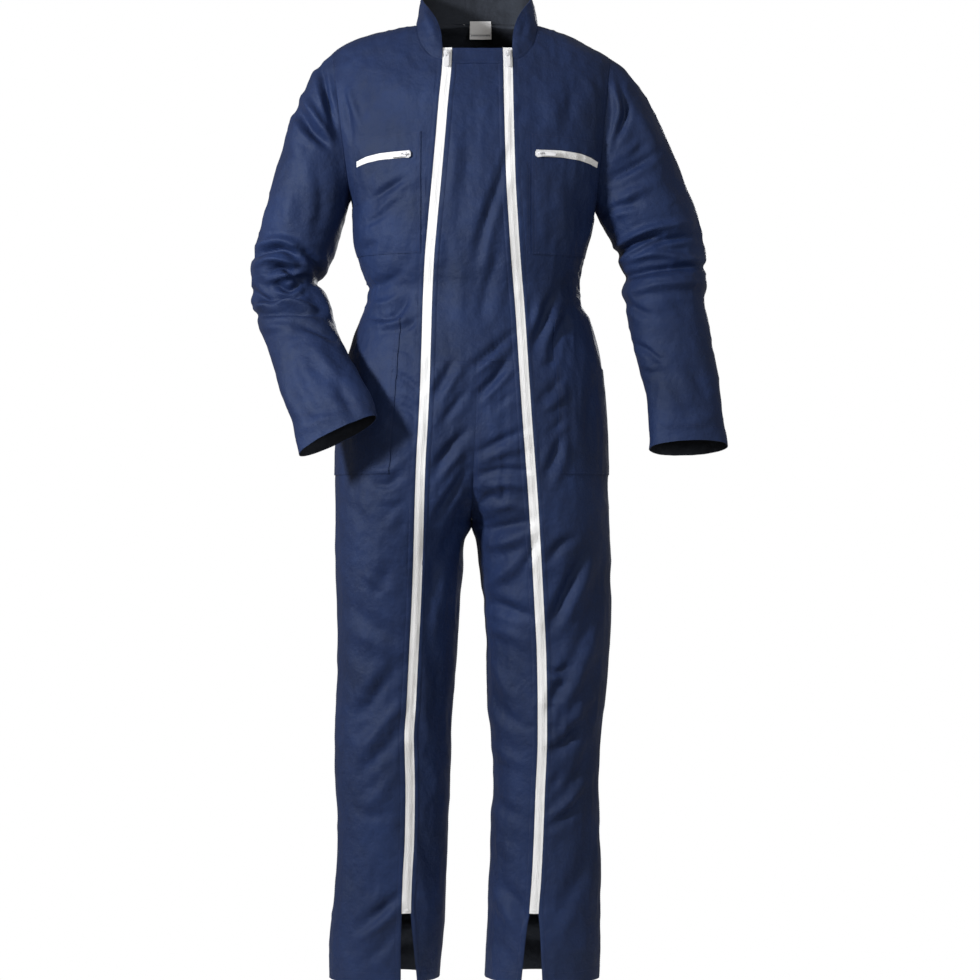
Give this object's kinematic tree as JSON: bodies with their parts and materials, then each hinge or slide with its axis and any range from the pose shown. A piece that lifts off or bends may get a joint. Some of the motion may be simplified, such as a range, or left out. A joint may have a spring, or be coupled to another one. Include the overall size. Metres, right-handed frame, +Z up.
{
  "type": "boiler suit",
  "caption": "Long-sleeved work boiler suit with a stand collar, long front zips running to the lower legs, zipped chest pockets and side pockets, filled out as worn and hollow",
  "frame": {"origin": "between the shoulders, level with the points where collar and shoulder seams meet; the suit is held there by its wearer", "axes": "+Z up along the suit, +X towards the wearer's left, +Y towards the wearer's back"},
  "size_m": [0.7808, 0.3342, 1.6232],
  "materials": {
    "navy_twill": "matt twill",
    "zip_tape": "woven tape and moulded teeth",
    "zip_metal": "white enamel",
    "label": "woven label"
  },
  "bodies": {
    "suit": {"front_right": "navy_twill", "leg_front_right": "navy_twill", "leg_back_right": "navy_twill", "sleeve_right": "navy_twill", "chest_pocket_right": "navy_twill", "hip_pocket_right": "navy_twill", "front_left": "navy_twill", "leg_front_left": "navy_twill", "leg_back_left": "navy_twill", "sleeve_left": "navy_twill", "chest_pocket_left": "navy_twill", "hip_pocket_left": "navy_twill", "front_centre": "navy_twill", "back_upper": "navy_twill", "collar": "navy_twill", "front_band": "navy_twill", "zip_right": "zip_tape", "pocket_zip_right": "zip_tape", "zip_left": "zip_tape", "pocket_zip_left": "zip_tape", "slider_zip_right": "zip_metal", "slider_pocket_right": "zip_metal", "slider_zip_left": "zip_metal", "slider_pocket_left": "zip_metal", "neck_label": "label", "size_tab": "label"},
    "pull_zip_right": {"pull_zip_right": "zip_metal"},
    "pull_pocket_right": {"pull_pocket_right": "zip_metal"},
    "pull_zip_left": {"pull_zip_left": "zip_metal"},
    "pull_pocket_left": {"pull_pocket_left": "zip_metal"}
  },
  "joints": [
    {"name": "pull_zip_right_hinge", "type": "hinge", "parent": "suit", "child": "pull_zip_right", "pos_m": [-0.04726, -0.08469, -0.05595], "axis": [-0.9976, 0.069, -0.003], "range_deg": [0, 140]},
    {"name": "pull_pocket_right_hinge", "type": "hinge", "parent": "suit", "child": "pull_pocket_right", "pos_m": [-0.11323, -0.11841, -0.22418], "axis": [-0.0373, 0.063, 0.9973], "range_deg": [0, 140]},
    {"name": "pull_zip_left_hinge", "type": "hinge", "parent": "suit", "child": "pull_zip_left", "pos_m": [0.05112, -0.08417, -0.05616], "axis": [-0.9969, -0.0781, -0.0021], "range_deg": [0, 140]},
    {"name": "pull_pocket_left_hinge", "type": "hinge", "parent": "suit", "child": "pull_pocket_left", "pos_m": [0.10357, -0.1197, -0.22312], "axis": [0.0084, -0.0506, -0.9987], "range_deg": [0, 140]}
  ]
}
